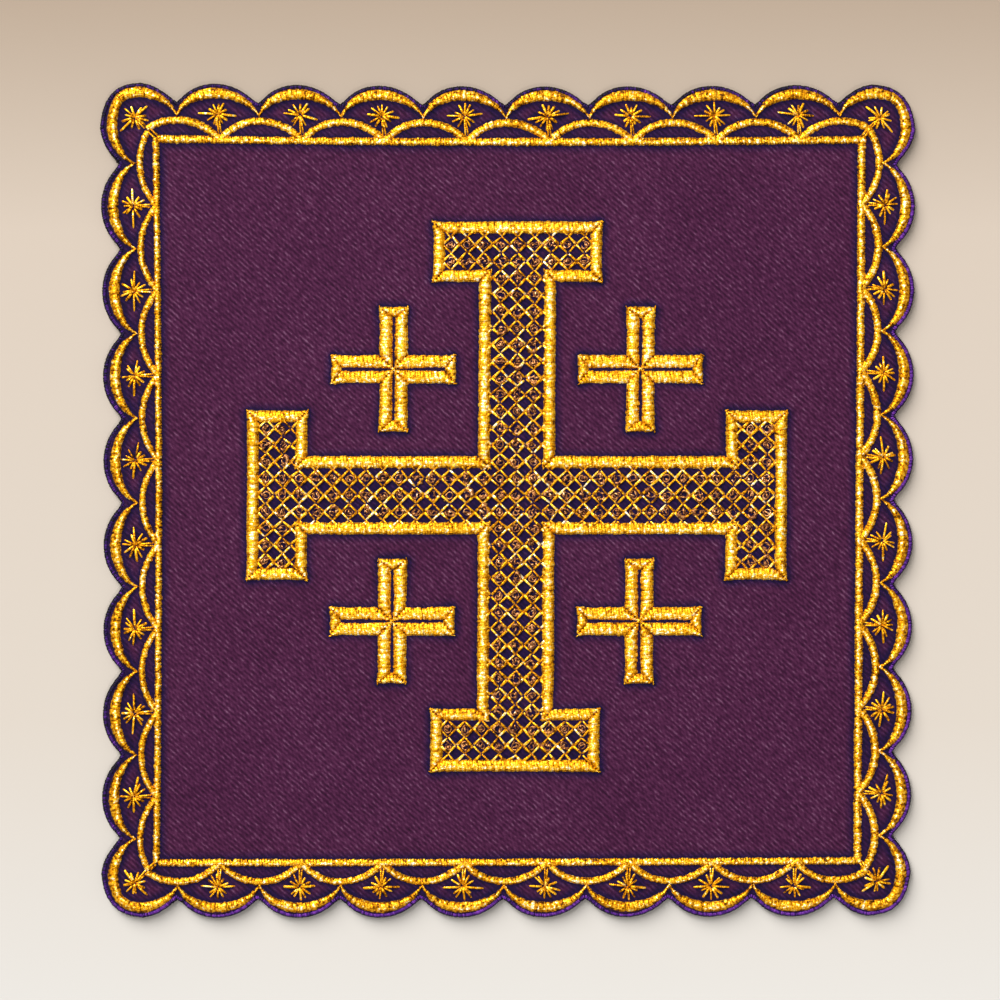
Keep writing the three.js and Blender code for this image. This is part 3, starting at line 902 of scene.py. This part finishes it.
def corner_edges(before, side):
    """Outer and inner edge of the crescent round the corner between two sides."""
    halves = []
    for half_side, sign in ((before, 1), (side, -1)):
        centre = sign * (LOBES / 2 * PITCH[half_side] + CORNER_HALF_LOBE)
        edges = []
        for inset, dip in ((0.0, CRESCENT_OUTER_DIP), (CRESCENT_WIDTH, CRESCENT_INNER_DIP)):
            radius = arc_radius(CORNER_HALF_LOBE, dip)
            reach = corner_offset(half_side, centre, CRESCENT_INSET[half_side] + inset, radius)
            offset = sign * np.linspace(-CORNER_HALF_LOBE, reach, HALF_CRESCENT_POINTS)
            both = crescent_edges(half_side, centre, CORNER_HALF_LOBE, offset)
            edges.append(both[len(edges)][::sign])
        halves.append(edges)
    joined = [np.concatenate([first[:-1], second]) for first, second in zip(*halves)]
    return [rounded(edge, [len(edge) // 2], CORNER_SPREAD, CORNER_SMOOTHING) for edge in joined]


def sew_crescents():
    batches = []
    for number, side in enumerate(SIDES):
        span = PITCH[side] / 2
        offset = np.linspace(-span, span, CRESCENT_POINTS)
        for centre in lobe_middles(side):
            batches += crescent(*crescent_edges(side, centre, span, offset))
        batches += crescent(*corner_edges(SIDES[number - 1], side))
    return sew("crescents", batches)


crescents = sew_crescents()
hand_over(crescents, darker_speckled_gold, ["scallop_crescents"])

# %% [markdown]
# ## Frame line and arches
#
# A narrow satin row frames the field. An arch stands on it under each notch, and the feet of two
# neighbouring arches meet on the line below the middle of a scallop.

# %% Sew the frame line and its arches
ARCH_INSET = {"top": 7.5, "right": 7.3, "bottom": 7.5, "left": 8.2}
LINE_WIDTH = {"top": 1.7, "right": 1.75, "bottom": 1.6, "left": 1.45}
LINE_POINTS, ARCH_POINTS = 60, 25
BORDER_SHADE = 0.3
LINE_RISE, ARCH_RISE = 0.4, 0.38
LINE_SLANT, ARCH_SLANT = 0.35, 0.2
CORNER_STRAND = 0.45
STRAND_GAP = 0.12  # half the distance between two strands, as a share of their length


def frame_side(number):
    """The middle of the frame line along one side, from corner to corner."""
    side, before, after = SIDES[number], SIDES[number - 1], SIDES[(number + 1) % 4]
    first = FRAME_INSET[before] - side_length(side) / 2
    last = side_length(side) / 2 - FRAME_INSET[after]
    return on_side(side, np.linspace(first, last, LINE_POINTS), FRAME_INSET[side]) - MIDDLE


def arch_line(side, index):
    """The middle of an arch. The first and last of a side stop at the corner's diagonal."""
    centre = (index - LOBES / 2) * PITCH[side]
    span = PITCH[side] / 2
    inset = ARCH_INSET[side]
    radius = arc_radius(span, FRAME_INSET[side] - inset)
    first, last = -span, span
    if index == 0:
        first = -corner_offset(side, centre, inset, radius)
    if index == LOBES:
        last = corner_offset(side, centre, inset, radius)
    offset = np.linspace(first, last, ARCH_POINTS)
    return on_side(side, centre + offset, inset + arc_drop(radius, offset)) - MIDDLE


def sew_border():
    batches = []
    for number, side in enumerate(SIDES):
        width = LINE_WIDTH[side]
        batches += satin(frame_side(number), width, BORDER_SHADE, LINE_RISE, LINE_SLANT)
        for index in range(LOBES + 1):
            batches += satin(arch_line(side, index), width, BORDER_SHADE, ARCH_RISE, ARCH_SLANT)
        junction = arch_line(side, 0)[0]
        corner = frame_side(number)[0]
        sideways = np.array([corner - junction])[:, ::-1] * [1, -1] * STRAND_GAP
        ends = np.concatenate([sideways, -sideways])
        shade = shade_of(2, 0.4, 0.1)
        batches.append(flat_stitches(junction + ends, corner + ends, CORNER_STRAND, shade))
    return sew("frame_and_arches", batches)


border = sew_border()
hand_over(border, darker_speckled_gold, ["arch_border"])

# %% [markdown]
# ## Stars
#
# Each star is a dozen single stitches that meet in a small hub. The two along the scallop are
# longest. They cross one another, so they bow up by different heights.

# %% Sew the stars
STAR_INSET = {"top": 6.25, "right": 6.1, "bottom": 6.45, "left": 6.75}
CORNER_STAR_INSET = 7.2
STAR_RAYS = 12
LONG_RAY, SHORT_RAY = 4.4, 2.9
RAY_WIDTH, RAY_CROWN, RAY_WANDER = 0.54, 0.3, 0.1
HUB_GAP, FOOT_GAP = 0.09, 0.3  # half the distance between the two strands at each end
FOOT_STRAND = 0.36


def strands_to_foot(place, foot):
    """Two thin strands from a star's hub to where the feet of two arches meet."""
    aside = right_of(unit(foot - place)) * FOOT_GAP
    aside = np.array([aside, -aside])
    start = place + aside * HUB_GAP / FOOT_GAP
    return flat_stitches(start, foot + aside, FOOT_STRAND, shade_of(2, 0.3, 0.15), 0.2)


def star(place, along):
    """One star about a place, with its long rays in the direction `along`."""
    turn = along + np.arange(STAR_RAYS) * 2 * math.pi / STAR_RAYS
    turn = turn + random.normal(0, RAY_WANDER, STAR_RAYS)
    length = np.where(np.arange(STAR_RAYS) % (STAR_RAYS // 2) == 0, LONG_RAY, SHORT_RAY)
    length = length * random.uniform(0.78, 1.12, STAR_RAYS)
    ray = np.stack([np.cos(turn), np.sin(turn)], axis=-1)
    start = place + ray * random.uniform(-0.2, 0.5, (STAR_RAYS, 1))
    end = place + ray * length[:, None]
    width = RAY_WIDTH * random.uniform(0.7, 1.1, STAR_RAYS)
    rise = random.uniform(0.2, 0.42, STAR_RAYS)
    shade = shade_of(STAR_RAYS, 0.34, 0.18)
    return flat_stitches(start, end, width, shade, rise, crown=RAY_CROWN)


def sew_stars():
    batches = []
    for number, side in enumerate(SIDES):
        along = -number * math.pi / 2
        inset = CORNER_STAR_INSET
        corner = on_side(side, inset - side_length(side) / 2, inset) - MIDDLE
        batches += [star(corner, along + math.pi / 4), strands_to_foot(corner, arch_line(side, 0)[0])]
        for centre in lobe_middles(side):
            place = on_side(side, centre, STAR_INSET[side]) - MIDDLE
            foot = on_side(side, centre, FRAME_INSET[side] - LINE_WIDTH[side] / 2) - MIDDLE
            batches += [star(place, along), strands_to_foot(place, foot)]
    return sew("stars", batches)


stars = sew_stars()
hand_over(stars, gold, [f"star_{i}" for i in range(1, 37)])

# %% [markdown]
# ## The large cross
#
# Its outline is a broad satin row that turns mitred corners: where two rows meet, the stitches of
# each end on the line between the outer and the inner corner. The same helper sews the small
# crosses, whose inner outline is the narrow slit.

# %% Outlines of the crosses
CROSS_PLACE = np.array([2.0, 0.9])
CROSS_LEAN = 0.0057
REACH = (55.45, 54.8, 56.0, 54.6)  # of the top, right, bottom and left arm
BAR_DEPTH = (12.3, 12.45, 12.85, 12.3)  # in the same order
STEM_WIDTH, BEAM_WIDTH, BAR_LENGTH = 15.7, 15.95, 34.3
SATIN_WIDTH = 2.5
SATIN_SLANT = 0.12
SHORTEST_STITCH = 0.25
FULL_STITCH = 1.1  # a shorter stitch is also lower
PADDED = 0.9  # share of the row's width that is padded


def on_cloth(points):
    """Points about the middle of the cross, which leans a little, as points on the cloth."""
    x, y = points[..., 0], points[..., 1]
    return np.stack([x + CROSS_LEAN * y, y], axis=-1) + CROSS_PLACE - MIDDLE


def quarter_turned(points, quarter):
    for _ in range(quarter):
        points = right_of(points)
    return points


def cross_potent(inset):
    """Corners of the large cross, clockwise, `inset` inside its outer edge."""
    stem, beam, bar = (size / 2 - inset for size in (STEM_WIDTH, BEAM_WIDTH, BAR_LENGTH))
    corners = []
    for quarter in range(4):
        arm, other = (beam, stem) if quarter % 2 else (stem, beam)
        reach = REACH[quarter] - inset
        foot = reach - (BAR_DEPTH[quarter] - 2 * inset)
        top = [(-arm, foot), (-bar, foot), (-bar, reach), (bar, reach), (bar, foot), (arm, foot),
               (arm, other)]
        corners.append(quarter_turned(np.array(top, float), quarter))
    return np.concatenate(corners)


def greek_cross(span, arm):
    corners = np.array([(-arm / 2, span / 2), (arm / 2, span / 2), (arm / 2, arm / 2)])
    return np.concatenate([quarter_turned(corners, quarter) for quarter in range(4)])


def mitred_row(outer, inner, rise=0.5):
    """Batches of a satin row between two outlines with matching corners."""
    starts, ends, lines = [], [], []
    corners = zip(outer, np.roll(outer, -1, axis=0), inner, np.roll(inner, -1, axis=0))
    for p, q, a, b in corners:
        length = np.linalg.norm(q - p)
        along = (q - p) / length
        first, last = np.dot(a - p, along), np.dot(b - p, along)
        inward = (a - p) - along * first
        depth = np.linalg.norm(inward)
        low, high = min(0.0, first), max(length, last)
        count = max(1, round((high - low) / STITCH_GAP))
        at = low + (np.arange(count) + 0.5) / count * (high - low)
        from_outer, to_inner = np.zeros(count), np.full(count, depth)
        for mitre, run in ((first, at), (length - last, length - at)):
            if mitre > 0:
                to_inner = np.minimum(to_inner, depth * np.clip(run / mitre, 0, 1))
            elif mitre < 0:
                from_outer = np.maximum(from_outer, depth * np.clip(run / mitre, 0, 1))
        keep = to_inner - from_outer > SHORTEST_STITCH
        at, from_outer, to_inner = at[keep], from_outer[keep], to_inner[keep]
        lean = SATIN_SLANT * (to_inner - from_outer) / 2
        starts.append(p + np.outer(at - lean, along) + np.outer(from_outer, inward / depth))
        ends.append(p + np.outer(at + lean, along) + np.outer(to_inner, inward / depth))
        lines.append(np.array([(p + a) / 2, (q + b) / 2]))
    start, end = (wandered(on_cloth(np.concatenate(group))) for group in (starts, ends))
    count = len(start)
    lower = np.clip(np.linalg.norm(end - start, axis=1) / FULL_STITCH, 0.5, 1)
    top = flat_stitches(
        start, end, STITCH_WIDTH * random.uniform(0.88, 1.12, count), shade_of(count, 0.36, 0.12),
        rise * random.uniform(0.85, 1.15, count) * lower, thick=SATIN_THREAD, painted_streak=PAINTED_STREAK,
    )
    return [top, *(padding(on_cloth(line), PADDED * SATIN_WIDTH, rise) for line in lines)]


# %% Sew the outline of the large cross
OVERSEWN = 0.1  # the needle falls this much outside the drawn lines

edging = mitred_row(cross_potent(-OVERSEWN), cross_potent(SATIN_WIDTH + OVERSEWN))
cross_edging = sew("cross_edging", edging)
hand_over(cross_edging, gold, ["cross_outline"])

# %% Sew the small crosses
CROSSLET_PLACE = (25.0, 25.5)
CROSSLET_SPAN, CROSSLET_ARM = 25.4, 5.9
SLIT_WIDTH, SLIT_END = 0.25, 2.4
CORNER_NAMES = {"top_left": (-1, 1), "top_right": (1, 1), "bottom_left": (-1, -1),
                "bottom_right": (1, -1)}
MIDDLE_STITCH = 0.6  # how far the two stitches over the slit's middle reach to each side
MIDDLE_STITCH_WIDTH = 0.42
CROSSLET_RISE = 0.45


def middle_stitches(place):
    """Two stitches that cross over the middle of the slit."""
    ends = np.array([(1, 1), (1, -1)]) * MIDDLE_STITCH
    start, end = wandered(on_cloth(place - ends)), wandered(on_cloth(place + ends))
    return flat_stitches(start, end, MIDDLE_STITCH_WIDTH, shade_of(2, 0.6, 0.1), 0.35)


for corner_name, signs in CORNER_NAMES.items():
    place = np.array(CROSSLET_PLACE) * signs
    outer = greek_cross(CROSSLET_SPAN, CROSSLET_ARM + 2 * OVERSEWN) + place
    slit = greek_cross(CROSSLET_SPAN - 2 * SLIT_END, SLIT_WIDTH) + place
    batches = [*mitred_row(outer, slit, rise=CROSSLET_RISE), middle_stitches(place)]
    small_cross = sew("small_cross_" + corner_name, batches)
    hand_over(small_cross, gold, ["crosslet_" + corner_name])

# %% [markdown]
# ## The net
#
# Inside the outline two sets of threads cross at 45 degrees. Where they cross beside the small
# loops they are thick and bright, and between the loops thin. Every second diamond is left open,
# and the others hold a loop of finer thread with short strands across it. The loop is modelled
# once, as a torus with few faces, and each copy is turned, stretched and tipped a little at
# random.

# %% Sew the net
NET_PITCH = 3.38
NET_WIDE, NET_FINE, NET_THREAD, NET_WANDER = 0.74, 0.36, 0.24, 0.1
NET_EDGE = 1.8  # from the outer edge of the cross to the middle of the outermost threads
NET_MARGIN = 3.4  # the same for the loops
NET_OVERLAP = 0.06  # share of a thread by which it reaches past each crossing
LOOP_RADIUS, LOOP_THREAD, LOOP_WOBBLE, LOOP_TIP = 0.74, 0.15, 0.24, 0.16
LOOP_STRANDS, STRAND_THREAD, STRAND_SPREAD = 4, 0.2, 0.38


def in_cross(points, inset):
    """Which points, about the middle of the cross, lie inside its outline."""
    inside = np.zeros(len(points), bool)
    for quarter in range(4):
        aside, ahead = np.abs(points[:, quarter % 2]), points[:, 1 - quarter % 2]
        ahead = ahead * (1, 1, -1, -1)[quarter]
        arm = (BEAM_WIDTH if quarter % 2 else STEM_WIDTH) / 2 - inset
        foot = REACH[quarter] - BAR_DEPTH[quarter] + inset
        in_bar = (aside < BAR_LENGTH / 2 - inset) & (ahead > foot)
        inside |= ((aside < arm) & (ahead >= 0) | in_bar) & (ahead < REACH[quarter] - inset)
    return inside


def grid_places(shift):
    """Places of the net's diamonds, in steps of its pitch."""
    reach = int(max(REACH) / NET_PITCH) + 2
    steps = np.arange(-reach, reach + 1)
    columns, rows = np.meshgrid(steps, steps)
    return (np.stack([columns.ravel(), rows.ravel()], axis=-1) + shift) * NET_PITCH


def loop_places():
    places = grid_places(0.0)
    return places[in_cross(places, NET_MARGIN)]


def net_threads():
    open_diamonds = grid_places(0.5)
    half = NET_PITCH / 2
    starts, ends = [], []
    for side in (-1, 1):
        for end in (-1, 1):
            starts.append(open_diamonds + [0, side * half])
            ends.append(open_diamonds + [end * half, 0])
    start, end = np.concatenate(starts), np.concatenate(ends)
    keep = in_cross((start + end) / 2, NET_EDGE)
    start, end = start[keep], end[keep]
    reach = (end - start) * NET_OVERLAP
    start, end = on_cloth(start - reach), on_cloth(end + reach)
    count = len(start)
    return flat_stitches(
        wandered(start, NET_WANDER), wandered(end, NET_WANDER),
        NET_WIDE * random.uniform(0.55, 1.1, count), shade_of(count, 0.42, 0.3),
        random.uniform(0.18, 0.36, count), NET_THREAD, end_width=NET_FINE,
    )


def net_loops():
    """A loop in every second diamond of the net."""
    start_fresh()
    bpy.ops.mesh.primitive_torus_add(
        major_segments=12, minor_segments=4, major_radius=1.0, minor_radius=LOOP_THREAD / LOOP_RADIUS
    )
    points, faces = take_mesh(bpy.context.object)
    places = on_cloth(loop_places())
    count = len(places)
    turn = random.uniform(0, 2 * math.pi, count)
    size = random.uniform(0.85, 1.1, (2, count)) * LOOP_RADIUS
    tip = random.normal(0, LOOP_TIP, (2, count))
    x, y, z = points.T[:, None, :]
    wobble = random.normal(0, LOOP_WOBBLE, (2, count, 1))
    pinch = 1 + wobble[0] * (x**3 - y**3) + wobble[1] * x * y * 2
    x, y = x * pinch * size[0][:, None], y * pinch * size[1][:, None]
    z = z * LOOP_RADIUS + x * tip[0][:, None] + y * tip[1][:, None]
    cos, sin = np.cos(turn)[:, None], np.sin(turn)[:, None]
    spots = np.stack([
        x * cos - y * sin + wandered(places)[:, :1], x * sin + y * cos + wandered(places)[:, 1:],
        z + FACE + LOOP_THREAD,
    ], axis=-1)
    shade = np.broadcast_to(shade_of(count, 0.1, 0.16)[:, None], spots.shape[:2])
    winding = np.arctan2(points[:, 1], points[:, 0]) * LOOP_RADIUS
    uv = np.broadcast_to(np.stack([winding, points[:, 2]], axis=-1), (*spots.shape[:2], 2))
    return {"faces": faces, "spots": spots, "uv": uv, "shade": shade}


def loop_strands():
    """Short fine strands that cross each loop at any angle."""
    places = np.repeat(loop_places(), LOOP_STRANDS, axis=0)
    count = len(places)
    angle = random.uniform(0, math.pi, count)
    reach = np.stack([np.cos(angle), np.sin(angle)], axis=-1) * random.uniform(0.4, 0.8, (count, 1))
    places = places + random.normal(0, STRAND_SPREAD, (count, 2))
    return flat_stitches(
        on_cloth(places - reach), on_cloth(places + reach), random.uniform(0.26, 0.42, count),
        shade_of(count, 0.12, 0.22), random.uniform(0.1, 0.34, count), STRAND_THREAD,
    )


net = sew("net", [net_threads()])
hand_over(net, net_gold, ["cross_lattice"])
loops = sew("net_loops", [net_loops(), loop_strands()])
hand_over(loops, dull_gold)

# %% [markdown]
# ## Table, light and camera
#
# The pall lies on a pale table under soft studio light. A broad light hangs overhead, towards the
# upper left, and a broader one stands lower on the same side, like a window, so a wide soft
# shadow lies along the right and lower rim. A small weak light from below the foot of the cross
# makes the gold glint on its lower edges. The camera looks straight down through a long lens.

# %% Table
def make_table_top():
    material, tree, shader = new_material("pale_table")
    x, y = split(tree, object_place(tree))
    # Painted light: the table's colour is darker towards the top and a little lighter towards the
    # right.
    colour = add_ramp(tree, map_range(tree, y, -0.11, 0.11), [
        (0.0, 187, 186, 184), (0.3, 178, 171, 163), (0.75, 170, 159, 148), (1.0, 140, 125, 110),
    ])
    scaled = {"Vector": colour, "Scale": map_range(tree, x, -0.1, 0.1, 1.0, 1.06)}
    colour = add_node(tree, "ShaderNodeVectorMath", scaled, operation="SCALE")
    fill_inputs(tree, shader, {"Base Color": colour, "Roughness": 0.9, "Specular IOR Level": 0.1})
    return material


start_fresh()
bpy.ops.mesh.primitive_plane_add(size=3)
table = bpy.context.object
table.name = "table"
table.data.materials.append(make_table_top())

# %% Light
def add_area_light(name, place, size, power, colour):
    data = bpy.data.lights.new(name, "AREA")
    data.shape = "DISK"
    data.size = size
    data.energy = power
    data.color = colour
    light = bpy.data.objects.new(name, data)
    light.location = place
    light.rotation_mode = "QUATERNION"
    light.rotation_quaternion = (-Vector(place)).to_track_quat("-Z", "Y")
    bpy.context.scene.collection.objects.link(light)


add_area_light("overhead", (-0.6, 0.92, 1.66), 1.0, 28.0, (1.0, 0.98, 0.95))
add_area_light("low_window", (-0.92, 1.42, 1.06), 1.15, 48.0, (1.0, 0.98, 0.95))
add_area_light("from_the_foot", (0.2, -1.0, 1.72), 0.2, 8.0, (1.0, 0.97, 0.92))
world = bpy.data.worlds.new("studio")
world.use_nodes = True
world.node_tree.nodes["Background"].inputs["Color"].default_value = (1.0, 0.98, 0.95, 1.0)
world.node_tree.nodes["Background"].inputs["Strength"].default_value = 0.45
bpy.context.scene.world = world
bpy.context.scene.view_settings.view_transform = "Standard"

# %% Camera
PICTURE = 1000  # pixels each way
CLOTH_SPAN = 815  # pixels that the cloth's width takes in the photo
CLOTH_MIDDLE = (506.5, 499.7)  # pixel at the middle of the true square
LENS, SENSOR = 100.0, 36.0

pixels_per_mm = CLOTH_SPAN / WIDTH
look_at = np.array([
    (PICTURE / 2 - CLOTH_MIDDLE[0]) / pixels_per_mm, (CLOTH_MIDDLE[1] - PICTURE / 2) / pixels_per_mm
]) - MIDDLE
distance = PICTURE / pixels_per_mm * LENS / SENSOR
camera_data = bpy.data.cameras.new("camera")
camera_data.lens = LENS
camera_data.sensor_width = SENSOR
camera = bpy.data.objects.new("camera", camera_data)
camera.location = (look_at[0] * MM, look_at[1] * MM, (distance + FACE) * MM)
bpy.context.scene.collection.objects.link(camera)
bpy.context.scene.camera = camera
print("camera height:", round(camera.location.z, 3), "m")
